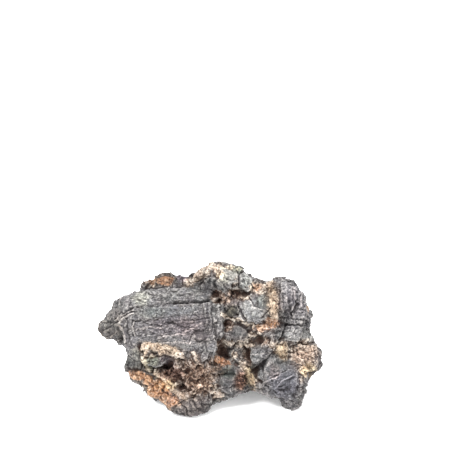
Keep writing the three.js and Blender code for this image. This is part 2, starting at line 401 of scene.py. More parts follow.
CRUST_STROKES = {
    "tan ridge": (1.0, TAN_RIDGE, 5.5),
    "vein band": (1.0, VEIN_BAND, 6.0),
    "lip": (1.0, CRUST_LIP, 4.6),
    "loop": (0.9, CRUST_LOOP, 3.0),
    "cream rim": (1.0, CREAM_RIM, 4.0),
    "tan strip": (1.0, TAN_STRIP, 2.2),
    "olive strip": (1.0, OLIVE_STRIP, 4.6),
    "knob's rim": (0.8, KNOB_RIM, 2.4),
}
CRUST_PATCHES = {
    "crown's left end": (1.0, (208, 268), (9, 5), -35),
    "crown's top": (0.9, (217, 266), (7, 4)),
    "crown's face": (0.8, (219, 274), (5, 5)),
    "crown's right side": (0.6, (236, 283), (3, 6), 15),
    "crown's top right": (0.7, (229, 267), (6, 3)),
    "top slab's edge": (0.45, (240, 268), (4, 4)),
    "above the plate": (0.9, (258, 288), (10, 6)),
    "plate's upper left": (0.8, (244, 297), (7, 3)),
    "above the knob": (0.7, (227, 299), (5, 4)),
    "below the lip": (0.8, (165, 352), (8, 5)),
    "lip's end": (0.5, (178, 361), (7, 4)),
    "rust's lower end": (0.8, (177, 403), (5, 3), 30),
    "below the centre lump": (0.95, (244, 344), (10, 5), -8),
    "cavity's top": (0.7, (230, 343), (6, 4)),
    "cavity's right": (0.7, (235, 355), (4, 4)),
    "right of the slab": (0.8, (275, 346), (6, 5)),
    "cream face": (0.95, (284, 350), (5, 10)),
    "right tip": (0.9, (304, 353), (14, 13), 20),
    "tip's yellow end": (1.0, (308, 369), (7, 9)),
    "right foot's edge": (0.5, (301, 376), (4, 13)),
    "rust knob's foot": (0.6, (152, 283), (8, 6)),
    "beside the lens": (0.7, (212, 388), (5, 5)),
    "below the lens": (0.75, (216, 395), (8, 5)),
    "white grain": (1.0, (199, 385), (2.4, 2.4), 0, 0.3),
    "below the plate": (0.75, (256, 335), (7, 4)),
}

elsewhere = 1 - facing
old_skin = rough(points, 34.0, 41, layers=4)
crust = strongest(
    strokes(CRUST_STROKES),
    patches(CRUST_PATCHES),
    0.7 * elsewhere * smooth(old_skin, 0.26, 0.55),
)
print("crust covers", round(100 * crust.mean()), "% of the skin")

# %% [markdown]
# ## Rust and rot
# Iron in the water has stained the lower left corner and a few seams orange. Below the crust the stone has
# rotted to brown crumbs, and hard pale grains are left standing in it. On the back, rust lies where the
# crust's noise is lowest, so that the two keep apart.

# %% Lay out the rust, the rot and its grains
RUST_PATCHES = {
    "rust knob's top": (1.0, (165, 280), (9, 6)),
    "rust knob's left": (0.7, (151, 279), (6, 6)),
    "left corner": (1.0, (136, 375), (12, 6), 5),
    "corner's middle": (0.9, (148, 380), (6, 7)),
    "lower corner": (1.0, (157, 390), (10, 11), 40),
    "corner's lower end": (1.0, (168, 398), (13, 8), 30),
    "crown": (0.4, (216, 272), (5, 5)),
    "above the plate": (0.8, (257, 287), (6, 4)),
    "vein's foot": (0.9, (272, 323), (9, 6)),
    "below the plate": (0.8, (262, 328), (10, 4)),
    "orange clot": (1.0, (223, 362), (9, 5), 25),
    "right tip": (0.5, (303, 356), (6, 6)),
    "tan ridge": (0.5, (198, 276), (5, 3)),
    "below the lens": (0.4, (214, 395), (4, 4)),
}
PITTED_PATCHES = {
    "below the crust": (1.0, (186, 378), (29, 20), 12),
    "right of the block": (0.9, (219, 298), (8, 6)),
    "below the crown": (0.9, (235, 293), (8, 4)),
    "beside the olive strip": (1.0, (242, 381), (6, 9)),
    "deep cavity": (0.9, (223, 347), (6, 11)),
    "left of the slab": (0.8, (246, 354), (5, 8)),
    "below the plate": (0.8, (263, 341), (9, 5)),
    "below the knob": (0.9, (229, 325), (5, 7)),
    "above the lens": (0.7, (213, 370), (12, 12)),
    "hole in the crust": (0.7, (152, 355), (5, 4)),
    "slab's undercut": (0.2, (261, 365), (9, 4), -35),
    "slab's left end": (0.6, (248, 365), (6, 4)),
}
GRAIN_SPACING = 3.4

rust = strongest(patches(RUST_PATCHES), 0.6 * elsewhere * smooth(-old_skin, 0.4, 0.65))
pitted = strongest(patches(PITTED_PATCHES), 0.6 * elsewhere * smooth(rough(points, 30.0, 45), 0.35, 0.6))
to_grain, _, _, grain_own = chips(points, GRAIN_SPACING, 47)
grains = pitted * smooth(grain_own, 0.66, 0.72) * (1 - smooth(to_grain, 0.8, 1.3))
crust = strongest(crust, grains)
for name, mask in (("crust with grains", crust), ("rust", rust), ("rot", pitted)):
    print(name, "covers", round(100 * mask.mean()), "% of the skin")

# %% [markdown]
# ## The block and the folded ends
# Two more masks say how the sound stone broke. The bedded block has one clean face, so its outline is a
# polygon. The wing, the right lobe and the feet were squeezed into folds.

# %% Lay out the block's face and the folds
BLOCK_OUTLINE = [
    (122, 309), (128, 294), (146, 289), (190, 286), (209, 290), (214, 318), (212, 336), (196, 350),
    (170, 346), (134, 343), (131, 325),
]
FOLD_PATCHES = {
    "wing": (1.3, (110, 324), (16, 22), 0, 0.3),
    "right lobe": (1.3, (295, 302), (17, 22), 0, 0.3),
    "left foot": (0.6, (190, 406), (20, 12)),
    "right foot": (0.5, (285, 384), (18, 18)),
    "plate": (0.4, (254, 312), (14, 14)),
}

block_face = inside(BLOCK_OUTLINE, soft=2.5)
folds = strongest(patches(FOLD_PATCHES), 0.2 * elsewhere * (1 - crust), most=1.3)
print("the block covers", round(100 * block_face.mean()), "% and folds", round(100 * folds.mean()), "%")

# %% [markdown]
# ## Broken faces
# Stone breaks along flat chips of every size, each leaning its own way, with a small step where two meet.
# Between them it weathers into wrinkles with sharp crests. The bedded face broke cleanly, so it gets much
# less of both.

# %% Chip and wrinkle the broken faces
CHIP_SIZES = {13.0: 1.0, 7.0: 0.75, 3.6: 0.3, 2.1: 0.14}  # cell length and height, in mm

broken = 1 - 0.7 * block_face
lift = broken * (0.3 * rough(points, 12.0, 3) + 0.3 * creased(points, 8.0, 5))
for (length, height), seed in zip(CHIP_SIZES.items(), itertools.count(21)):
    _, _, lean, own = chips(points, length, seed)
    lift += broken * height * (lean + 0.9 * (own - 0.5))
print("chips lift the skin by", lift.min().round(1), "to", lift.max().round(1), "mm")

# %% [markdown]
# ## The bedded face
# The block was laid down in thin beds, and it broke cleanly across them. In a frame that leans back with the
# block, one coordinate runs up through the beds. Laminations are waves of that coordinate, bent by noise.
# Flakes are chips in a space that is squeezed along the beds, so they come out long and low. The open
# partings between the beds are cut later, with the other cracks.

# %% Roughen the bedded face
BED_LEAN = math.radians(43)
FACE_MIDDLE = np.array([-23.0, -17.0, 58.5])
LAMINATION_SPACING = 2.9
LAMINATION_HEIGHT = 0.06
FLAKE_SIZES = {2.6: 0.3, 1.3: 0.14}  # cell length and height, in mm

slope_up = np.array([0.05, math.cos(BED_LEAN), math.sin(BED_LEAN)])
up_the_face = (points - FACE_MIDDLE) @ slope_up + 0.9 * rough(points, 16.0, 51)
bed_grain = np.stack([0.5 * points[:, 0], 0.6 * points[:, 1], up_the_face], axis=1)
laminations = np.sin(2 * math.pi * up_the_face / LAMINATION_SPACING + 3 * rough(points, 14.0, 53))
flakes = np.zeros(len(points))
for (length, height), seed in zip(FLAKE_SIZES.items(), itertools.count(55)):
    _, _, lean, own = chips(bed_grain, length, seed)
    flakes += height * (lean + own - 0.5)
wrinkled = 0.3 * creased(bed_grain, 3.4, 57) - 0.25 * creased(bed_grain, 5.5, 58, layers=2)
lift += block_face * (LAMINATION_HEIGHT * laminations + flakes + wrinkled)
print("flakes lift the face by", flakes.min().round(2), "to", flakes.max().round(2), "mm")

# %% [markdown]
# ## Ledges on the hidden sides
# The beds run right through the rock, so on the other sides their edges crop out as ledges. Each bed stands
# out more and more towards its top, and then drops back to the foot of the next. Broad noise decides where
# ledges show and where they have broken away.

# %% Let the beds crop out as ledges
LEDGE_SPACING = 8.0
LEDGE_HEIGHT = 1.9

bed_rise = (points @ slope_up + 1.6 * rough(points, 14.0, 59)) / LEDGE_SPACING
in_bed = bed_rise - np.floor(bed_rise)
ledge = in_bed - smooth(in_bed, 0.8, 1.0)
ledged = smooth(rough(points, 38.0, 60), -0.25, 0.2)
lift += elsewhere * LEDGE_HEIGHT * ledged * ledge
print("ledges show on", round(100 * (elsewhere * ledged).mean()), "% of the skin")

# %% [markdown]
# ## Folds
# The rock's two ends were squeezed, so their laminations stand out as tight crests that run side by side.
# Creased noise makes them when the space that it is laid on is squeezed along the folds, which draws its
# crests out into long ridges, and bent by more noise.

# %% Fold the ends
FOLD_LENGTH = 7.0
FOLD_BEND = 3.0
FOLD_SQUEEZE = 0.62  # share that is taken off along the folds

across = np.array([0.86, 0.3, 0.42])
bent = points + FOLD_BEND * np.stack([rough(points, 20.0, seed) for seed in (61, 62, 63)], axis=1)
squeezed = bent - FOLD_SQUEEZE * (bent - (bent @ across)[:, None] * across)
lift += folds * (0.75 * creased(squeezed, FOLD_LENGTH, 64) + 0.3 * creased(squeezed, 2.6, 67, layers=2))
print("folds are about", FOLD_LENGTH / 2, "mm apart")

# %% [markdown]
# ## Broken facets on the front
# The front is a patchwork of flat breaks about a centimetre across, and these are what the rock is known by.
# Random chips would give other ones, so each facet is named and placed. It is a polygon of picture places
# with a height in millimetres, a rise across and a rise down in millimetres per picture step, and a tone:
# above 0 is paler, below 0 is darker. The chips that are already there are mostly flattened first.

# %% Lay the facets on the front
FACETS = {
    "wing, upper face": (
        [(124, 293), (112, 308), (103, 317), (111, 323), (127, 310), (131, 300)],
        0.4, 0.06, 0.05, 0.15,
    ),
    "wing, lower face": (
        [(100, 324), (111, 324), (118, 328), (118, 341), (101, 336)],
        0.2, 0.0, -0.08, -0.15,
    ),
    "wing, inner face": (
        [(122, 322), (131, 316), (132, 332), (129, 341), (123, 342)],
        0.3, 0.12, -0.08, 0.1,
    ),
    "dark lump": ([(121, 346), (130, 343), (132, 350), (126, 355)], 0.8, 0.0, -0.15, -0.6),
    "shoulder": (
        [(130, 349), (140, 350), (144, 358), (140, 367), (128, 366), (127, 357)],
        0.8, 0.05, -0.05, 0.0,
    ),
    "green face in the crust": (
        [(148, 358), (155, 357), (159, 362), (157, 368), (150, 368), (147, 363)],
        -0.4, 0.0, 0.05, 0.1,
    ),
    # its dark tone is painted shadow below the crust lip
    "dark face below the crust": (
        [(161, 359), (170, 357), (175, 361), (172, 367), (163, 367)],
        -0.8, 0.0, -0.1, -0.8,
    ),
    "left foot, toe": (
        [(175, 409), (190, 407), (205, 411), (194, 416), (180, 417)],
        0.6, 0.05, -0.05, -0.3,
    ),
    "left foot, top": ([(183, 400), (198, 399), (203, 407), (190, 408), (180, 405)], 0.2, 0.0, 0.15, -0.5),
    "white patch": ([(207, 380), (216, 380), (218, 385), (210, 386)], 0.7, 0.0, 0.1, 0.6),
    "violet face": ([(179, 273), (185, 274), (189, 281), (181, 284)], 0.4, 0.1, 0.1, 0.2),
    "blue face": ([(203, 283), (211, 280), (213, 288), (206, 288)], 0.0, 0.1, 0.15, 0.1),
    "crown, pale face": (
        [(220, 265), (230, 266), (236, 275), (238, 283), (229, 286), (220, 279)],
        0.9, -0.05, 0.1, 0.8,
    ),
    "crown, green face": ([(231, 265), (238, 265), (239, 274), (234, 272)], 0.0, -0.2, 0.0, -0.4),
    "crown, lower face": ([(217, 281), (225, 282), (228, 291), (219, 290)], 0.5, 0.1, -0.1, 0.1),
    "top slab": (
        [(241, 273), (247, 272), (253, 280), (252, 290), (247, 293), (240, 287)],
        0.8, -0.05, 0.08, 0.7,
    ),
    "between slab and plate": ([(249, 293), (257, 297), (256, 304), (250, 299)], 0.4, -0.1, 0.1, 0.2),
    "green face by the vein": (
        [(257, 296), (267, 297), (268, 304), (265, 309), (259, 307)],
        0.3, 0.0, -0.05, 0.1,
    ),
    "plate": (
        [(240, 301), (249, 299), (255, 306), (265, 311), (263, 319), (257, 325), (248, 321), (241, 312)],
        0.9, 0.05, 0.03, 0.45,
    ),
    "below the plate's edge": (
        [(263, 317), (268, 311), (272, 315), (268, 322), (264, 321)],
        0.1, -0.1, 0.05, 0.0,
    ),
    "face above the knob": ([(229, 299), (236, 298), (237, 307), (230, 307)], -0.2, 0.1, 0.1, 0.1),
    "centre lump": (
        [(229, 332), (234, 326), (241, 324), (248, 328), (249, 336), (243, 341), (234, 342)],
        0.9, 0.0, 0.08, -0.2,
    ),
    "below the centre lump": ([(225, 340), (234, 343), (232, 349), (227, 347)], 0.7, 0.1, 0.0, 0.4),
    "pale face below it": ([(230, 350), (238, 350), (238, 360), (231, 360)], 0.6, 0.0, 0.05, 0.2),
    "hole's lip": (
        [(221, 373), (228, 377), (235, 377), (238, 384), (229, 389), (221, 388)],
        0.6, 0.0, -0.05, -0.5,
    ),
    "block's dark face": (
        [(195, 331), (205, 329), (209, 335), (201, 341), (195, 338)],
        -0.7, 0.0, 0.12, -0.6,
    ),
    "block's last flakes": (
        [(206, 341), (215, 339), (219, 347), (214, 353), (207, 350)],
        0.7, 0.1, 0.0, 0.0,
    ),
    "slab": (
        [(251, 349), (262, 347), (273, 349), (266, 354), (262, 359), (255, 365), (251, 360)],
        0.9, -0.05, 0.03, -0.3,
    ),
    "right lobe, shoulder": ([(280, 281), (290, 282), (291, 292), (281, 294)], 0.6, 0.1, 0.15, 0.4),
    "right lobe, hatched face": ([(281, 294), (291, 292), (293, 302), (283, 304)], 0.2, 0.1, -0.05, 0.0),
    "right lobe, inner face": ([(281, 305), (293, 303), (292, 313), (284, 316)], 0.5, 0.1, 0.05, 0.1),
    "right lobe, outer face": ([(300, 290), (309, 300), (310, 307), (301, 306)], 0.3, -0.15, 0.0, -0.1),
    "right lobe, lower face": ([(296, 309), (308, 309), (311, 318), (300, 318)], 0.5, -0.05, 0.1, 0.3),
    "middle block, left face": ([(287, 328), (299, 328), (300, 341), (287, 341)], 0.8, 0.05, 0.08, 0.6),
    "middle block, right face": (
        [(300, 328), (308, 329), (313, 335), (311, 341), (301, 341)],
        0.8, -0.06, 0.1, 0.7,
    ),
    "cream face": ([(281, 342), (287, 342), (287, 357), (281, 357)], 0.3, 0.1, 0.0, 0.4),
    "grey face beside it": ([(288, 342), (294, 342), (293, 352), (288, 352)], 0.2, 0.0, 0.1, 0.0),
    "right foot, upper face": (
        [(263, 367), (277, 358), (292, 359), (290, 368), (280, 373), (270, 377), (263, 374)],
        0.9, 0.0, 0.0, 0.1,
    ),
    "right foot, left face": ([(257, 374), (269, 376), (270, 385), (262, 384)], 0.3, 0.12, -0.08, -0.2),
    "right foot, main face": (
        [(272, 378), (290, 369), (298, 373), (298, 385), (288, 390), (274, 390)],
        0.7, -0.03, -0.03, -0.5,
    ),
    "right foot, toe": ([(281, 392), (291, 391), (293, 401), (285, 403)], 0.7, -0.1, 0.0, -0.2),
    "right foot, pit": ([(268, 391), (275, 391), (276, 398), (270, 398)], -0.8, 0.0, 0.1, -0.5),
}
FLATTENING = 0.65  # share of the earlier relief that a facet takes away

pale_faces = np.zeros(len(points))
dark_faces = np.zeros(len(points))
for corners, height, rise_across, rise_down, tone in FACETS.values():
    face = inside(corners)
    from_middle = picture - np.mean(corners, axis=0)
    lift += face * (height + from_middle @ (rise_across, rise_down) - FLATTENING * lift)
    pale_faces = np.maximum(pale_faces, face * max(tone, 0))
    dark_faces = np.maximum(dark_faces, face * max(-tone, 0))
print(len(FACETS), "facets are laid on the front")

# %% [markdown]
# ## Broken facets on the back
# The hidden sides broke in the same way, but no facet there has to be recognised, so one chip pattern lays
# them all. Inside a cell the skin is flattened and leans its own way, and a groove runs round it. Cells with
# a low number stay as they are, and a few others are paler or darker than the rest.

# %% Lay facets on the back
BREAK_LENGTH = 13.0
BREAK_FLATTENING = 0.7
BREAK_LEAN = 1.7
BREAK_STEP = 0.9
GROOVE_DEPTH = 0.9
GROOVE_WIDTH = 0.8

_, to_edge, lean, own = chips(points, BREAK_LENGTH, 91)
break_face = elsewhere * smooth(to_edge, 0.3, 1.6) * smooth(own, 0.2, 0.3)
lift += break_face * (BREAK_LEAN * lean + BREAK_STEP * (own - 0.5) - BREAK_FLATTENING * lift)
lift -= GROOVE_DEPTH * elsewhere * np.exp(-((to_edge / GROOVE_WIDTH) ** 2))
pale_faces = np.maximum(pale_faces, 0.5 * break_face * smooth(own, 0.75, 0.9))
dark_faces = np.maximum(dark_faces, 0.5 * break_face * smooth(own, 0.5, 0.35))
print("facets cover", round(100 * break_face.mean()), "% of the skin at the back")

# %% [markdown]
# ## Cracks
# The partings between the beds, the undercut below the slab and the joints round each facet are what a
# visitor would point at. Noise can't put them where they belong, so each is a stroke: picture places, a
# width in picture steps and a depth in millimetres.

# %% Cut the cracks
CRACKS = {
    "upper bed": ([(137, 308), (144, 305), (158, 305), (178, 302), (209, 301)], 1.0, 0.8),
    "upper bed, open end": ([(174, 303), (192, 301), (209, 301)], 1.5, 2.0),
    "middle bed, left end": ([(133, 321), (140, 322)], 0.9, 0.8),
    "middle bed": ([(144, 323), (149, 321), (158, 320)], 1.0, 0.9),
    "middle bed, faint end": ([(166, 320), (190, 321), (214, 317)], 1.0, 0.35),
    "lower bed": ([(150, 337), (170, 335), (186, 334), (214, 332)], 1.0, 0.35),
    "split in the lower bed": ([(195, 339), (200, 341), (206, 338)], 1.3, 2.0),
    "wing, upper crack": ([(121, 314), (127, 311), (134, 308)], 1.1, 1.5),
    "wing, crack in the fold": ([(116, 325), (119, 319), (125, 315), (132, 312)], 0.8, 1.1),
    "wing, lower crack": ([(104, 331), (111, 326), (118, 322)], 0.9, 1.0),
    "wing, bottom crack": ([(107, 337), (112, 336), (117, 331)], 0.8, 0.8),
    "wing fissure": ([(119, 327), (121, 334), (121, 344)], 1.5, 3.0),
    "inside the wing's fold": ([(127, 318), (128, 328), (129, 340)], 1.1, 1.2),
    "gully beside the block": ([(212, 303), (212, 318), (215, 336)], 1.0, 0.8),
    "gully beside the ridge": ([(224, 301), (226, 315), (226, 330), (224, 340)], 1.8, 1.8),
    "above the knob": ([(226, 310), (231, 307), (238, 309)], 1.0, 0.9),
    "below the knob": ([(226, 316), (232, 318), (238, 315)], 1.2, 1.2),
    "plate's left": ([(239, 303), (241, 313), (246, 320)], 1.1, 1.5),
    "plate's lower right": ([(251, 323), (257, 327), (266, 325)], 1.1, 1.4),
    "plate's right": ([(262, 318), (266, 313), (271, 310)], 1.0, 1.3),
    "plate's top": ([(249, 298), (254, 305), (260, 309)], 0.9, 1.0),
    "above the centre lump": ([(226, 324), (233, 325), (241, 325), (247, 329), (250, 333)], 1.3, 1.6),
    "right lobe's crack": ([(296, 301), (296, 307), (291, 313), (291, 318)], 1.1, 1.3),
    "right lobe's foot": ([(281, 317), (288, 318), (298, 319)], 1.0, 1.1),
    "right notch": ([(289, 325), (298, 325)], 1.5, 2.4),
    "middle block's left": ([(286, 321), (285, 330), (282, 339)], 1.2, 2.0),
    "edge notch": ([(300, 342), (306, 343), (315, 342)], 1.2, 1.8),
    "slab undercut": ([(256, 370), (263, 364), (270, 357), (277, 353)], 3.4, 5.0),
    "slab's left end": ([(244, 347), (247, 355), (249, 362)], 2.0, 2.2),
    "right foot's edge": ([(255, 371), (256, 379), (262, 385), (268, 387)], 1.4, 1.8),
    "right foot's top": ([(279, 364), (284, 361), (289, 368)], 0.9, 0.5),
    "strip's left": ([(242, 366), (246, 374), (249, 383)], 1.2, 1.5),
    "below the crust": ([(157, 357), (166, 356), (176, 360), (184, 361)], 1.3, 1.6),
    "beside the loop": ([(139, 348), (140, 357), (142, 366)], 1.3, 2.2),
    "shoulder's crease": ([(128, 356), (134, 354), (139, 357)], 1.0, 1.0),
    "rust's crease": ([(133, 373), (142, 377), (150, 384), (155, 394)], 1.0, 0.9),
    "rust's second crease": ([(158, 384), (163, 392), (170, 398)], 1.0, 0.8),
    "foot's left crease": ([(180, 404), (186, 409), (188, 416)], 1.1, 1.5),
    "foot's right crease": ([(194, 401), (198, 408), (204, 412)], 1.1, 1.4),
    "rust and foot": ([(172, 405), (177, 401), (184, 398)], 1.1, 1.2),
    "crust's inner edge": ([(160, 365), (166, 367), (172, 372), (180, 380)], 2.0, 2.0),
    "shoulder's foot": ([(127, 369), (136, 369), (146, 369)], 1.1, 1.0),
    "below the rust": ([(131, 380), (140, 383), (146, 386)], 1.3, 1.2),
    "foot's top": ([(176, 406), (181, 402), (190, 398), (200, 397)], 1.3, 1.3),
    "crack in the foot": ([(203, 401), (204, 408)], 1.2, 1.5),
    "crown's foot": ([(229, 290), (236, 293), (249, 294)], 1.5, 1.6),
    "crown's crack": ([(224, 285), (227, 291)], 1.0, 1.3),
    "crown's left": ([(214, 281), (215, 291)], 1.6, 1.8),
    "below the tan ridge": ([(201, 285), (206, 278), (215, 277)], 1.3, 1.7),
    "knob's foot": ([(145, 289), (166, 288), (188, 286)], 1.0, 0.8),
    "slab and crown": ([(239, 272), (239, 286), (243, 291)], 1.2, 1.4),
    "vein's right": ([(279, 284), (280, 298), (280, 312), (279, 320)], 1.3, 1.5),
    "vein's left": ([(268, 290), (269, 300), (271, 309)], 0.9, 0.8),
}

for places, width, depth in CRACKS.values():
    lift -= depth * stroke(places, width)
print(len(CRACKS), "cracks are cut")

# %% [markdown]
# ## Holes
# Rotten stone has fallen out between the harder lumps and left dark holes. Each is a patch: its middle, its
# radii in picture steps and a depth in millimetres.

# %% Sink the holes
HOLES = {
    "deep cavity": ((222, 347), (4.5, 9), 3.0),
    "cavity's foot": ((226, 354), (3.5, 4), 2.6),
    "beside the knob": ((228, 322), (4, 2.6), 2.4),
    "under the centre lump": ((235, 346), (3, 2.4), 1.8),
    "right of the slab": ((279, 347), (2.4, 3), 1.8),
    "crust's pit on the tip": ((303, 349), (3, 2.4), 1.6),
    "tip's lower pit": ((299, 366), (2.6, 3), 1.6),
    "below the crown": ((215, 295), (3, 2.4), 2.6),
    "below the crown, right": ((219, 300), (3, 2.4), 2.6),
    "crown's shadow": ((234, 292), (5, 2.5), 2.2),
    "crown's hole": ((233, 286), (1.6, 2.2), 2.0),
    "lens's hole": ((229, 374), (5.2, 4.6), 2.8),
    "pit below the plate": ((260, 340), (4, 4), 3.0),
    "pit beside it": ((268, 341), (3.5, 3.5), 2.4),
    "dark gap": ((246, 355), (3.5, 5), 2.4),
    "under the lip": ((166, 366), (6, 3), 2.6),
    "pitted, lower": ((180, 388), (4.5, 3), 2.4),
    "behind the strip": ((199, 368), (3, 3), 2.4),
    "beside the foot": ((195, 396), (4, 3.5), 2.2),
    "hole in the crust": ((153, 353), (4, 2.6), 1.8),
    "crust's nick": ((162, 346), (2.6, 2), 1.2),
    "crust's second nick": ((172, 352), (3, 2.4), 1.2),
    "wing's tip": ((101.5, 331), (1.8, 2.6), 1.4),
    "dark red hollow": ((167, 373), (4, 3), 2.2),
    "brown hollow": ((175, 380), (4, 3), 2.0),
    "black hole": ((187, 372), (2.6, 2.6), 2.4),
    "corner hole": ((139, 345), (2.2, 2.6), 2.0),
    "red hollow": ((237, 386), (4, 2.5), 1.8),
    "foot's hole": ((297, 388), (1.8, 3), 1.8),
}

for middle, radii, depth in HOLES.values():
    lift -= depth * patch(middle, radii)
print(len(HOLES), "holes are sunk")

# %% [markdown]
# ## Ridges
# Calcite seams, crust and folded laminations weather more slowly than the stone, so they stand out of it.
# Some of these lines are painted with calcite later, and they are defined once here for both.

# %% Raise the ridges
LOBE_FOLDS = [
    [(282, 283), (280, 294), (282, 306)],
    [(287, 284), (285, 296), (287, 308)],
    [(293, 286), (290, 298), (292, 308)],
    [(292, 310), (300, 306), (308, 310)],
    [(293, 314), (302, 311), (311, 316)],
    [(286, 317), (298, 317), (311, 320)],
    [(300, 292), (304, 298), (305, 304)],
]
LOBE_FOLD_WIDTH = 1.2
LOBE_FOLD_HEIGHT = 0.7
WING_FOLD = [(116, 322), (120, 317), (126, 313), (134, 310)]
WING_SECOND_FOLD = [(118, 326), (122, 319), (128, 315), (133, 314)]
WING_EDGE = [(119, 305), (121, 299), (125, 294)]
WING_RIM = [(101, 322), (98, 328), (99, 335), (105, 339), (113, 341)]
WING_SLIVER = [(111, 338), (117, 331)]
BESIDE_FISSURE = [(122, 327), (124, 335), (124, 343)]
BLOCK_CREST = [(135, 321), (132, 327), (134, 336)]
PLATE_RIM = [(238, 306), (238, 314), (242, 319), (249, 324)]
LOBE_STREAK = [(301, 298), (301, 306)]
WHITE_GRAIN = [(198, 385), (200, 385)]
RIDGES = {
    "right of the block": ([(218, 302), (219, 320), (218, 336)], 1.6, 1.2),
    "beside it": ([(222, 306), (222, 322), (220, 337)], 1.2, 1.0),
    "crust lip": (CRUST_LIP, 3.4, 1.3),
    "crust loop": (CRUST_LOOP, 2.0, 0.9),
    "olive strip": (OLIVE_STRIP, 2.8, 1.2),
    "knob's lower rim": (KNOB_RIM, 1.7, 1.2),
    "lens's upper rim": ([(222, 371), (226, 368), (232, 368), (236, 372)], 1.2, 1.0),
    "block's right rib": ([(204, 304), (207, 318), (205, 331)], 1.0, 0.8),
    "block's last rib": ([(209, 304), (211, 318), (210, 334)], 1.0, 0.9),
    "knob by the rust": ([(142, 386), (144, 389)], 2.4, 1.0),
    "tan strip": (TAN_STRIP, 1.6, 1.8),
    "tan ridge": (TAN_RIDGE, 3.0, 1.6),
    "vein band": (VEIN_BAND, 3.6, 1.4),
    "cream rim": (CREAM_RIM, 2.4, 1.0),
    "plate's outer rim": (PLATE_RIM, 1.2, 1.1),
    "below the plate": ([(254, 330), (262, 327), (271, 328)], 1.8, 1.1),
    "arch rim": ([(231, 391), (240, 389), (250, 391)], 1.3, 0.9),
    "wing's fold": (WING_FOLD, 0.8, 1.0),
    "wing's second fold": (WING_SECOND_FOLD, 0.8, 0.8),
    "wing's edge": (WING_EDGE, 1.1, 0.8),
    "wing's rim": (WING_RIM, 1.1, 0.8),
    "wing's sliver": (WING_SLIVER, 0.8, 0.7),
    "beside the fissure": (BESIDE_FISSURE, 1.0, 1.2),
    "block's left crest": (BLOCK_CREST, 0.9, 0.6),
    "white grain": (WHITE_GRAIN, 1.8, 1.8),
    "flake": ([(204, 344), (205, 352)], 1.1, 1.2),
    "white sliver": ([(293, 353), (297, 359)], 1.1, 0.9),
    "lobe's streak": (LOBE_STREAK, 1.0, 0.7),
    "foot's vein": ([(277, 386), (283, 381), (291, 375)], 0.8, 0.4),
    "knob": ([(230, 311), (235, 311)], 3.2, 1.4),
}

for places, width, height in RIDGES.values():
    lift += height * stroke(places, width)
for places in LOBE_FOLDS:
    lift += LOBE_FOLD_HEIGHT * stroke(places, LOBE_FOLD_WIDTH)
print(len(RIDGES), "ridges and", len(LOBE_FOLDS), "folds are raised")

# %% [markdown]
# ## Crust and pits
# Calcite grows outwards in round buds, like a cauliflower, so each cell of three fine chip patterns carries a
# dome. Rot works the other way round: most cells there hold a pit, and the hard grains stay proud. A few pits
# are scattered over the sound stone too. Doing this on the points and not with bump keeps the crust's edge
# ragged from every side.

# %% Grow the crust and sink the pits
BUD_SIZES = {6.5: 0.75, 3.4: 0.42, 2.0: 0.16}  # cell length and height, in mm
PIT_SIZES = {9.0: 2.9, 5.0: 1.8, 2.5: 0.6}  # cell length and depth, in mm
RUSTY_BUDS = 0.3  # share of a bud's height where there is rust and no crust
GRAIN_HEIGHT = 0.8

crusty = strongest(crust, RUSTY_BUDS * rust)
for (length, height), seed in zip(BUD_SIZES.items(), itertools.count(71)):
    to_middle, _, lean, own = chips(points, length, seed)
    dome = np.sqrt(np.clip(1 - (to_middle / (0.7 * length)) ** 2, 0, 1))
    lift += crusty * height * (0.6 * dome * (0.3 + own) + 0.9 * lean - 0.3)
for (length, depth), seed in zip(PIT_SIZES.items(), itertools.count(81)):
    to_middle, _, _, own = chips(points, length, seed)
    pit = 1 - smooth(to_middle, 0.1 * length, 0.45 * length)
    lift -= pitted * (1 - 0.5 * elsewhere) * depth * pit * (own > 0.35)
    lift -= 0.4 * (1 - block_face) * (1 - 0.6 * elsewhere) * depth * pit * (own > 0.85)
lift += GRAIN_HEIGHT * grains
print("skin now lifts by", lift.min().round(1), "to", lift.max().round(1), "mm")

# %% [markdown]
# ## Move the skin
# The lift goes along broad normals, which don't cross each other in the hollows as the skin's own would. It
# is held between a depth and a height, so that no crack cuts through a thin lip. A last layer of grit follows
# the carved skin's own normals. Holding everything inside the solid's box keeps the feet flat on the floor.

# %% Carve, add grit and seat the feet
GRIT_LENGTH = 1.7
GRIT_HEIGHT = 0.12
EATEN_BACK = 0.5  # what weather has taken off everything but the block's face
DEEPEST = -5.5
PROUDEST = 2.0

lift -= EATEN_BACK * (1 - block_face)
carved = points + np.clip(lift, DEEPEST, PROUDEST)[:, None] * broad_normals
put_points(fine, carved)
carved = carved + (GRIT_HEIGHT * creased(points, GRIT_LENGTH, 90, layers=2))[:, None] * normals_of(fine)
low, high = np.array(solid_low) / MM, np.array(solid_high) / MM
carved = np.clip(carved, low, high)
put_points(fine, carved)
print("carved skin reaches from", carved.min(axis=0).round(1), "to", carved.max(axis=0).round(1), "mm")

# %% [markdown]
# ## Crests and hollows
# Dust and calcite bloom gather on crests, and the crests also carry a painted highlight. The hollows get
# painted shade. How far each point lies from the average of its neighbours, along its normal, tells the two
# apart. It is measured twice: over a few neighbours for the edges of grains, and over a few millimetres for
# the hollows between chips. The painted shade is part of the colour, so it stays when the lamps move.

# %% Measure crests and hollows
NEAR_ROUNDS = 4
WIDE_ROUNDS = 60

own_normals = normals_of(fine)


def standing_out(rounds):
    """How far each point stands out from its surroundings, in mm."""
    return ((carved - averaged(carved, rounds)) * own_normals).sum(axis=1)


near = standing_out(NEAR_ROUNDS)
wide = averaged(standing_out(WIDE_ROUNDS), 2)
crest = smooth(near, 0.02, 0.16)
hollow = strongest(smooth(-wide, 0.1, 1.2), 0.8 * smooth(-near, 0.04, 0.16))
print("crests cover", round(100 * crest.mean()), "% and hollows", round(100 * hollow.mean()), "%")
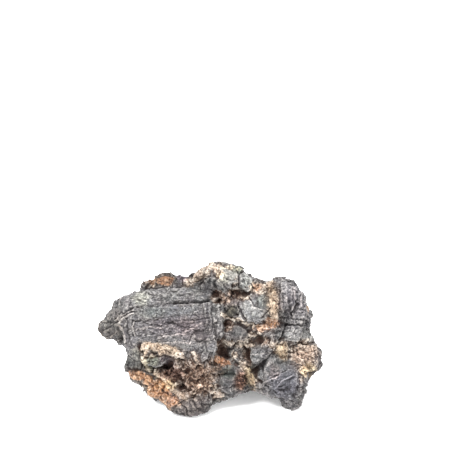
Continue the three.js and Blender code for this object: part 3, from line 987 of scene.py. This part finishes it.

# %% [markdown]
# ## Calcite lines and shades
# Hair-thin calcite runs along the folds and across the block. Some faces are paler or darker than the stone
# round them: those that broke last are fresh and dark, and those that face the weather are bleached. Some of
# these are painted light and shade: the block's top bed and the right foot's top are painted paler, and the
# face below the crust lip, the slab's undercut and the split in the lower bed are painted darker. On the
# back, broad noise spreads the same two shades.

# %% Lay out calcite lines and shades
CALCITE_LINES = {
    "block, lower line": [(157, 337), (172, 336), (186, 334)],
    "block, rising line": [(183, 333), (194, 329), (201, 323)],
    "block, left line": [(136, 330), (150, 327), (163, 328)],
    "block, lowest line": [(150, 345), (170, 342), (190, 343)],
    "foot's vein": [(276, 386), (283, 381), (291, 375)],
    "foot's second vein": [(262, 384), (272, 379), (284, 372)],
    "slab's line": [(252, 354), (262, 354), (270, 353)],
    "wing's fold": WING_FOLD,
    "wing's second fold": WING_SECOND_FOLD,
    "wing's edge": WING_EDGE,
    "wing's rim": WING_RIM,
    "wing's sliver": WING_SLIVER,
    "beside the fissure": BESIDE_FISSURE,
    "block's left crest": BLOCK_CREST,
    "white grain": WHITE_GRAIN,
    "plate's outer rim": PLATE_RIM,
    "lobe's streak": LOBE_STREAK,
    "lobe's second streak": [(294, 289), (294, 299)],
    "plate's joint": [(249, 300), (254, 308), (262, 311)],
}
PALE_PATCHES = {
    # painted light: the top bed is painted paler, as the lit top of the block
    "block's top bed": (0.6, (160, 294), (34, 6), -3),
    "block's middle bed": (0.4, (150, 314), (18, 5)),
    "block's right ribs": (0.6, (216, 317), (5, 18)),
    "right lobe's outer side": (0.5, (306, 300), (4, 8)),
    "right lobe's shoulder": (0.6, (286, 285), (6, 5)),
    # painted light over the shade under the crust's edge
    "right foot's top": (0.6, (288, 362), (9, 4)),
    "right lobe's foot": (0.6, (302, 312), (10, 7)),
    "above the split": (0.9, (193, 338), (3, 4)),
}
DARK_PATCHES = {
    "right foot": (0.3, (284, 386), (16, 13)),
    "left foot": (0.6, (193, 406), (19, 10)),
    "wing": (0.4, (110, 330), (13, 12)),
    "olive knob": (0.7, (232, 312), (6, 5)),
    "centre lump": (0.5, (236, 329), (4, 4)),
    # painted shadow under the slab
    "slab's undercut": (0.8, (265, 362), (12, 4), -38),
    "block's lower right": (0.4, (200, 338), (8, 6)),
    # painted shade in the split
    "split in the lower bed": (1.0, (201, 341), (7, 2.2), -12),
    "block's dark corner": (0.6, (208, 331), (4, 6)),
    "violet face": (0.7, (185, 277), (5, 4)),
}
LINE_WIDTH = 0.9
LOBE_LINE_WIDTH = 1.1

calcite = strongest(
    *[stroke(places, LINE_WIDTH) for places in CALCITE_LINES.values()],
    *[0.45 * stroke(places, LOBE_LINE_WIDTH) for places in LOBE_FOLDS],
)
bleaching = rough(points, 26.0, 97)
pale = strongest(pale_faces, patches(PALE_PATCHES), 0.5 * elsewhere * smooth(bleaching, 0.1, 0.5))
dark = strongest(dark_faces, patches(DARK_PATCHES), 0.4 * elsewhere * smooth(-bleaching, 0.1, 0.5))
print("pale faces cover", round(100 * pale.mean()), "% and dark ones", round(100 * dark.mean()), "%")

# %% [markdown]
# ## Tints
# No two stones in the rock are quite the same grey, cream or orange. Each tint below multiplies the paint's
# red, green and blue inside one patch, where 1 leaves it as it is. A few tints are painted light and shade:
# the rust corner is brightened, and the rust knob and the split in the lower bed are darkened. One material
# with tints is easier to keep in step than a material for each face would be.

# %% Tint single faces
TINTS = {
    "wing": ((108, 322), (17, 17), (0.81, 0.79, 0.75)),
    "wing's underside": ((112, 336), (14, 9), (0.85, 0.82, 0.8)),
    "crust lip": ((160, 350), (22, 8), (0.88, 0.83, 0.76)),
    "rotten, red side": ((172, 374), (11, 8), (1.0, 0.8, 0.76)),
    "white grain": ((199, 385), (3, 3), (1.7, 1.75, 1.85)),
    "rotten, brown side": ((198, 378), (14, 14), (1.06, 0.92, 0.82)),
    "lens's hole": ((229, 374), (6, 5), (0.8, 0.95, 0.86)),
    "vein's cream": ((273, 308), (3, 6), (1.45, 1.5, 1.5)),
    "vein's upper cream": ((271, 289), (3, 4), (1.3, 1.35, 1.35)),
    "pale patch on the block": ((141, 299), (8, 7), (1.5, 1.55, 1.4)),
    "block, violet side": ((172, 326), (24, 10), (0.95, 0.9, 0.93)),
    "block, green side": ((152, 313), (16, 6), (1.0, 1.03, 0.99)),
    "green face in the crust": ((152, 362), (7, 6), (0.98, 1.08, 0.92)),
    "dark cluster": ((167, 362), (8, 5), (0.8, 0.74, 0.84)),
    "foot's pink patch": ((275, 372), (6, 7), (1.2, 1.08, 1.02)),
    "olive knob": ((231, 311), (7, 6), (0.4, 0.38, 0.3)),
    # painted shade: darkens the rust knob, whose top takes more light
    "rust knob": ((161, 280), (16, 7), (0.46, 0.42, 0.38)),
    "violet face": ((182, 278), (5, 5), (1.15, 1.05, 1.2)),
    "tan ridge": ((197, 277), (14, 9), (0.66, 0.65, 0.64)),
    "crown": ((226, 273), (11, 10), (1.18, 1.17, 1.09)),
    "crown's left": ((221, 281), (6, 7), (1.3, 1.3, 1.22)),
    "face above the knob": ((232, 300), (9, 7), (1.02, 0.9, 0.86)),
    "cream face": ((283, 352), (5, 8), (1.02, 0.96, 0.82)),
    "crown's green side": ((238, 269), (5, 5), (1.0, 1.1, 0.95)),
    "top slab": ((247, 281), (7, 9), (1.4, 1.43, 1.4)),
    "plate": ((252, 312), (14, 12), (1.28, 1.32, 1.3)),
    "face by the vein": ((262, 302), (5, 7), (1.05, 1.12, 1.05)),
    "vein": ((272, 300), (8, 18), (0.67, 0.61, 0.54)),
    "vein's foot": ((268, 325), (11, 6), (1.38, 1.43, 1.5)),
    "right lobe": ((296, 300), (16, 18), (1.13, 1.1, 1.14)),
    "centre lump": ((239, 333), (12, 9), (0.68, 0.66, 0.65)),
    "middle block": ((299, 336), (14, 9), (1.46, 1.47, 1.46)),
    "right tip": ((306, 358), (15, 15), (1.06, 0.99, 0.96)),
    "yellow crust": ((308, 370), (7, 7), (1.1, 1.08, 0.9)),
    "lower lens": ((228, 374), (10, 13), (0.68, 0.68, 0.68)),
    "olive strip": ((250, 377), (6, 13), (0.66, 0.6, 0.47)),
    "red-brown rim": ((240, 381), (6, 10), (0.88, 0.62, 0.54)),
    # painted light: brightens the rust corner, which faces down and away from the lamps
    "rust corner": ((148, 385), (22, 14), (1.31, 1.26, 1.16)),
    "cream by the rust": ((166, 386), (9, 5), (1.3, 1.22, 1.0)),
    # painted shade in the split
    "split in the lower bed": ((201, 341), (7, 2.2), (0.45, 0.43, 0.43)),
    "orange clot": ((223, 361), (9, 6), (1.25, 1.15, 1.1)),
    "left foot": ((190, 407), (20, 11), (0.84, 0.76, 0.71)),
    "shoulder": ((134, 358), (9, 10), (1.02, 1.04, 0.96)),
    "right foot's blue face": ((284, 384), (15, 14), (0.79, 0.81, 0.92)),
    "middle bed": ((168, 312), (26, 6), (0.89, 0.93, 0.95)),
    "block's last flakes": ((196, 330), (20, 14), (1.02, 0.95, 0.95)),
}

tint = np.ones((len(points), 3))
for middle, radii, factors in TINTS.values():
    tint *= 1 + patch(middle, radii)[:, None] * (np.array(factors) - 1)
print(len(TINTS), "tints, from", tint.min().round(2), "to", tint.max().round(2))

# %% [markdown]
# ## Masks on the points
# The material reads all of this by name, from attributes on the points. An attribute follows the surface
# exactly, which a picture projected from the camera would not. Two masks are made from the others here:
# brown water stains spread from crust, rust and rot, and the block is less weathered.

# %% Store the masks
STAIN_SPREAD = 60  # rounds by which stains reach beyond what they come from

stain = averaged(strongest(crust, rust, 0.8 * pitted), STAIN_SPREAD)
stain *= 1 - 0.8 * block_face
weathered = 1 - 0.75 * averaged(block_face, 3)

MASKS = {
    "crust": averaged(crust, 1),
    "rust": averaged(rust, 1),
    "pitted": averaged(pitted, 1),
    "pale": pale,
    "dark": dark,
    "calcite": calcite,
    "crest": crest,
    "hollow": hollow,
    "stain": stain,
    "weathered": weathered,
}
for name, values in MASKS.items():
    attribute = fine.attributes.new(name, "FLOAT", "POINT")
    attribute.data.foreach_set("value", values.astype(np.float32))
tint_attribute = fine.attributes.new("tint", "FLOAT_VECTOR", "POINT")
tint_attribute.data.foreach_set("vector", tint.astype(np.float32).ravel())
print("stored", ", ".join(MASKS), "and tint")

# %% [markdown]
# ## A small kit for node materials
# A long node tree is easier to read as a chain of steps. `Tree` adds a node and links it in one call, so each
# line of the recipe below is one thing done to the colour. The same tree could be laid out by hand in the
# shader editor.

# %% Helpers for node trees
class Tree:
    def __init__(self, name):
        self.material = bpy.data.materials.new(name)
        self.material.use_nodes = True
        self.nodes = self.material.node_tree.nodes
        self.links = self.material.node_tree.links
        self.shader = self.nodes["Principled BSDF"]
        self.place = self.nodes.new("ShaderNodeTexCoord").outputs["Object"]

    def plug(self, value, socket):
        if isinstance(value, bpy.types.NodeSocket):
            self.links.new(value, socket)
        elif socket.type == "RGBA":
            socket.default_value = (*value, 1.0)
        else:
            socket.default_value = value

    def node(self, kind, *inputs, **settings):
        """A node with its inputs filled in order, where None leaves one as it is."""
        made = self.nodes.new(kind)
        for key, value in settings.items():
            setattr(made, key, value)
        for value, socket in zip(inputs, [socket for socket in made.inputs if socket.enabled]):
            if value is not None:
                self.plug(value, socket)
        return made

    def noise(self, size, detail=4.0, roughness=0.6, place=None):
        """Noise from 0 to 1 whose spots are about size millimetres across."""
        made = self.node("ShaderNodeTexNoise", place or self.place, 1 / (size * MM), detail, roughness)
        return made.outputs["Fac"]

    def moved(self, location=None, rotation=None, scale=None):
        """Object coordinates after they are moved, turned and scaled."""
        made = self.node("ShaderNodeMapping", self.place, location, rotation, scale)
        return made.outputs["Vector"]

    def wrinkles(self, size, place=None):
        """Noise with sharp crests, about size millimetres apart."""
        made = self.nodes.new("ShaderNodeTexNoise")
        made.noise_type = "RIDGED_MULTIFRACTAL"
        for name, value in (("Vector", place or self.place), ("Scale", 1 / (size * MM)), ("Detail", 3.0)):
            self.plug(value, made.inputs[name])
        return made.outputs["Fac"]

    def ramp(self, value, *stops):
        """A colour for each value, from (position, colour) stops."""
        made = self.node("ShaderNodeValToRGB", value)
        elements = made.color_ramp.elements
        while len(elements) < len(stops):
            elements.new(1.0)
        for element, (position, colour) in zip(elements, stops):
            element.position = position
            element.color = (*colour, 1.0)
        return made.outputs["Color"]

    def span(self, value, low, high, start=0.0, end=1.0):
        """From start to end as the value goes from low to high, and held there beyond."""
        made = self.node("ShaderNodeMapRange", value, low, high, start, end, interpolation_type="SMOOTHSTEP")
        return made.outputs["Result"]

    def math(self, operation, first, second):
        return self.node("ShaderNodeMath", first, second, operation=operation).outputs["Value"]

    def product(self, first, second):
        return self.math("MULTIPLY", first, second)

    def mix(self, share, under, over):
        """The colour under, covered by the colour over to that share."""
        made = self.node("ShaderNodeMix", share, under, over, data_type="RGBA")
        return next(socket for socket in made.outputs if socket.enabled)

    def times(self, colour, factor):
        """The colour made brighter or darker by a factor."""
        made = self.nodes.new("ShaderNodeVectorMath")
        made.operation = "SCALE"
        self.links.new(colour, made.inputs[0])
        self.plug(factor, made.inputs["Scale"])
        return made.outputs["Vector"]

    def mask(self, name):
        return self.node("ShaderNodeAttribute", attribute_name=name).outputs["Fac"]


print("the kit has", len([name for name in vars(Tree) if not name.startswith("_")]), "tools")

# %% [markdown]
# ## Noise for the paint
# Limestone changes colour at every size: grains, speckles, clots as large as a crust bud, and blotches of a
# centimetre. Streaks run along the beds, wrinkles stand out and creases are dark. Each is laid out once here,
# on Object coordinates, so that it keeps to the rock. Real masks have ragged edges, so `ragged` adds noise to
# a mask before it is cut off.

# %% Lay out the paint's noise
paint = Tree("limestone")
grain = paint.noise(1.1, 5)
speckle = paint.noise(2.6, 6, 0.65)
clots = paint.noise(5.5, 5, 0.6)
blotch = paint.noise(9.0, 5)
wrinkles = paint.wrinkles(3.2)
creases = paint.wrinkles(5.5, paint.moved(location=(0.3, 0.1, 0.2)))
along_the_beds = paint.moved(rotation=(-BED_LEAN, 0, 0), scale=(0.25, 1.5, 1.0))
streaks = paint.noise(2.2, 5, 0.65, along_the_beds)


def ragged(name, low, high, amount=0.9):
    """The mask of that name with its edge broken up into spots and clots."""
    mask = paint.mask(name)
    spots = paint.math("ADD", paint.math("SUBTRACT", speckle, 0.5), paint.math("SUBTRACT", clots, 0.5))
    cut_off = paint.span(paint.math("ADD", mask, paint.product(spots, amount)), low, high)
    return paint.product(cut_off, paint.span(mask, 0.03, 0.2))


print("noise takes", len(paint.nodes), "nodes")

# %% [markdown]
# ## The bare stone
# Sound limestone of this kind is a dark grey, a little violet where it is fresh and greenish in places. Near
# crust and rust it is stained brown, and single faces are bleached or dark. Colours are shares of red, green
# and blue in linear light.

# %% Paint the bare stone
FRESH = (0.098, 0.09, 0.098)
LIMESTONE = (0.15, 0.143, 0.15)
BLEACHED = (0.225, 0.222, 0.225)
WATER_STAIN = (0.135, 0.108, 0.088)
PALE_FACE = (0.27, 0.262, 0.255)
DARK_FACE = (0.062, 0.058, 0.066)
GREENISH = (0.135, 0.15, 0.14)

stone = paint.ramp(blotch, (0.3, FRESH), (0.5, LIMESTONE), (0.7, BLEACHED))
near_rust = paint.span(paint.mask("stain"), 0.0, 0.5, 0.0, 0.6)
stained = paint.math("ADD", paint.span(clots, 0.45, 0.7, 0.0, 0.35), near_rust)
stone = paint.mix(stained, stone, WATER_STAIN)
stone = paint.mix(ragged("pale", 0.2, 1.0), stone, PALE_FACE)
stone = paint.mix(ragged("dark", 0.3, 1.3), stone, DARK_FACE)
green = paint.product(paint.span(paint.noise(13.0, 3), 0.5, 0.64), 0.3)
stone = paint.mix(green, stone, GREENISH)
stone = paint.times(stone, paint.span(streaks, 0.3, 0.7, 0.6, 0.88))
print("stone painted with", len(paint.nodes), "nodes so far")

# %% [markdown]
# ## Calcite threads
# Fine calcite threads cross the stone where its wrinkles stand highest, and the calcite lines laid out above
# are whiter and broader. They come before crust and rust, because those grew over them.

# %% Paint the calcite threads
THREAD = (0.40, 0.385, 0.375)
CALCITE = (0.46, 0.42, 0.40)

threads = paint.product(paint.span(wrinkles, 0.95, 1.25), paint.span(blotch, 0.35, 0.65))
stone = paint.mix(paint.product(threads, 0.45), stone, THREAD)
stone = paint.mix(paint.product(ragged("calcite", 0.3, 0.9), 0.7), stone, CALCITE)
print("calcite painted with", len(paint.nodes), "nodes so far")

# %% [markdown]
# ## Rot, crust and rust
# These lie over the stone in the order in which they came. Rot is brown crumbs with pale grains, crust is
# cream with dirt in its joints, and rust runs from brown to a pale orange. The crust's and the rust's masks
# take a lot of noise, so that stone shows through and no patch ends in a smooth line.

# %% Paint the rot, the crust and the rust
DARK_CRUMB = (0.035, 0.02, 0.014)
CRUMB = (0.14, 0.088, 0.06)
PALE_CRUMB = (0.42, 0.32, 0.25)
TAN_CRUST = (0.27, 0.19, 0.135)
CRUST = (0.47, 0.37, 0.29)
CREAM_CRUST = (0.66, 0.585, 0.5)
CRUST_DIRT = (0.13, 0.085, 0.06)
BROWN_RUST = (0.25, 0.115, 0.06)
RUST = (0.42, 0.225, 0.125)
PALE_RUST = (0.62, 0.43, 0.3)

crumbs = paint.ramp(speckle, (0.36, DARK_CRUMB), (0.5, CRUMB), (0.66, PALE_CRUMB))
stone = paint.mix(paint.product(ragged("pitted", 0.3, 0.8), 0.85), stone, crumbs)
cream = paint.ramp(clots, (0.36, TAN_CRUST), (0.5, CRUST), (0.64, CREAM_CRUST))
cream = paint.mix(paint.span(speckle, 0.44, 0.32, 0.0, 0.5), cream, CRUST_DIRT)
crusted = ragged("crust", 0.42, 0.74, 1.8)
stone = paint.mix(crusted, stone, cream)
orange = paint.ramp(clots, (0.36, BROWN_RUST), (0.5, RUST), (0.66, PALE_RUST))
rusted = ragged("rust", 0.42, 0.86, 1.8)
stone = paint.mix(rusted, stone, orange)
coated = paint.math("MAXIMUM", crusted, rusted)
print("crust and rust painted with", len(paint.nodes), "nodes so far")

# %% [markdown]
# ## Dust, joints, painted shade and grain
# Dust with a painted highlight lies on the crests, dark joints follow the creases, and painted shade fills
# the hollows, reddish near rust. Dark pores come after them: dirt in the grain, painted darker as shade in
# the pits of the bump. Joints and pores are weaker where crust or rust covers the stone, and the fresh block
# has few pores. Grain then darkens and lightens everything alike, and the tints come last.

# %% Add dust and painted highlights, joints, painted shade and grain
# the colour for the crests is dust and a painted highlight
DUST_AND_HIGHLIGHT = (0.44, 0.41, 0.385)
OPEN_JOINT = (0.045, 0.036, 0.036)
# the two dark colours below are painted shade for the hollows, reddish near rust stains
DARK_HOLLOW_SHADE = (0.016, 0.013, 0.013)
REDDISH_HOLLOW_SHADE = (0.042, 0.018, 0.011)

# dust and a painted highlight on the crests
dust_and_highlight = paint.product(paint.mask("crest"), paint.span(speckle, 0.4, 0.6))
stone = paint.mix(paint.product(dust_and_highlight, 0.5), stone, DUST_AND_HIGHLIGHT)
cracked = paint.product(paint.span(creases, 0.85, 1.3), paint.span(coated, 0.0, 1.0, 0.7, 0.2))
stone = paint.mix(cracked, stone, OPEN_JOINT)
# painted shade in the hollows, reddish near rust stains
painted_hollow_shade = paint.mix(paint.span(paint.mask("stain"), 0.05, 0.4), DARK_HOLLOW_SHADE, REDDISH_HOLLOW_SHADE)
stone = paint.mix(paint.product(paint.mask("hollow"), 0.9), stone, painted_hollow_shade)
# dark pores: dirt in the grain, and painted shade in the pits of the bump
pores_and_pit_shade = paint.product(paint.span(speckle, 0.46, 0.36), paint.mask("weathered"))
pores_and_pit_shade = paint.product(pores_and_pit_shade, paint.span(coated, 0.0, 1.0, 1.0, 0.3))
stone = paint.times(stone, paint.span(pores_and_pit_shade, 0.0, 1.0, 1.0, 0.35))
stone = paint.times(stone, paint.span(grain, 0.3, 0.7, 0.18, 0.69))
tints = paint.node("ShaderNodeAttribute", attribute_name="tint").outputs["Vector"]
stone = paint.node("ShaderNodeVectorMath", stone, tints, operation="MULTIPLY").outputs["Vector"]
paint.links.new(stone, paint.shader.inputs["Base Color"])
print("all colours painted with", len(paint.nodes), "nodes")

# %% [markdown]
# ## The stone's feel
# Dry limestone is matt, and its darker spots are the roughest. Relief down to about a millimetre is carved
# into the mesh, and bump adds only the grain below that, because it can't change the outline.

# %% Finish the surface and dress the rock
BUMP_HEIGHT = 0.7 * MM

height = paint.math("ADD", paint.product(grain, 0.6), paint.product(wrinkles, 0.25))
height = paint.math("SUBTRACT", height, paint.product(creases, 0.45))
bump = paint.nodes.new("ShaderNodeBump")
bump.inputs["Distance"].default_value = BUMP_HEIGHT
paint.links.new(paint.math("ADD", height, speckle), bump.inputs["Height"])
paint.links.new(bump.outputs["Normal"], paint.shader.inputs["Normal"])
paint.links.new(paint.span(speckle, 0.3, 0.7, 0.95, 0.75), paint.shader.inputs["Roughness"])
paint.shader.inputs["Specular IOR Level"].default_value = 0.2

fine.materials.append(paint.material)
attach(rock, "root")
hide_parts("limestone_rock")
print("limestone has", len(paint.nodes), "nodes")

# %% [markdown]
# ## The floor
# The rock stands on a plain pale table. A table that is lit for a product picture is a little brighter than
# its paint alone would be, so the material glows slightly, which keeps it white up to the rock's foot.

# %% Make the floor
FLOOR_HALF = 6.0
FLOOR_DARK = (0.88, 0.88, 0.88)
FLOOR_PALE = (0.91, 0.91, 0.91)
FLOOR_GLOW = 0.22

table = Tree("pale_floor")
tone = table.ramp(table.noise(300, 2), (0.4, FLOOR_DARK), (0.6, FLOOR_PALE))
table.links.new(tone, table.shader.inputs["Base Color"])
table.shader.inputs["Roughness"].default_value = 0.9
table.shader.inputs["Emission Color"].default_value = (1.0, 1.0, 1.0, 1.0)
table.shader.inputs["Emission Strength"].default_value = FLOOR_GLOW

floor_mesh = bpy.data.meshes.new("floor")
floor_corners = [(x * FLOOR_HALF, y * FLOOR_HALF, 0) for x, y in ((-1, -1), (1, -1), (1, 1), (-1, 1))]
floor_mesh.from_pydata(floor_corners, [], [(0, 1, 2, 3)])
floor_mesh.materials.append(table.material)
floor = new_object("floor", floor_mesh)
print("the floor is", 2 * FLOOR_HALF, "m wide")

# %% [markdown]
# ## Lamps and sky
# A wide lamp overhead and a white sky give soft light from above, as in a light tent. The key lamp is smaller
# and comes from the left, so that the facets differ in tone, and a weak fill opens the shade on the right.
# The Standard view keeps the stone's colours as they are painted.

# %% Make the lamps and the sky
ROCK_MIDDLE = Vector((0, 0, 0.04))
LAMPS = {  # place in metres, width in metres and power in watts
    "overhead": ((-0.05, -0.1, 1.1), 0.4, 38.0),
    "key": ((-0.45, -0.6, 0.9), 0.25, 14.0),
    "fill": ((0.8, -0.7, 0.5), 0.8, 6.0),
}
SKY_STRENGTH = 1.7

for name, (place, width, power) in LAMPS.items():
    light = bpy.data.lights.new(name, "AREA")
    light.size = width
    light.energy = power
    lamp = new_object(name, light)
    lamp.location = place
    lamp.rotation_euler = (ROCK_MIDDLE - Vector(place)).to_track_quat("-Z", "Y").to_euler()

sky = bpy.data.worlds.new("sky")
sky.use_nodes = True
sky.node_tree.nodes["Background"].inputs["Color"].default_value = (1.0, 1.0, 1.0, 1.0)
sky.node_tree.nodes["Background"].inputs["Strength"].default_value = SKY_STRENGTH
bpy.context.scene.world = sky
bpy.context.scene.view_settings.view_transform = "Standard"
print(len(LAMPS), "lamps and a sky")

# %% [markdown]
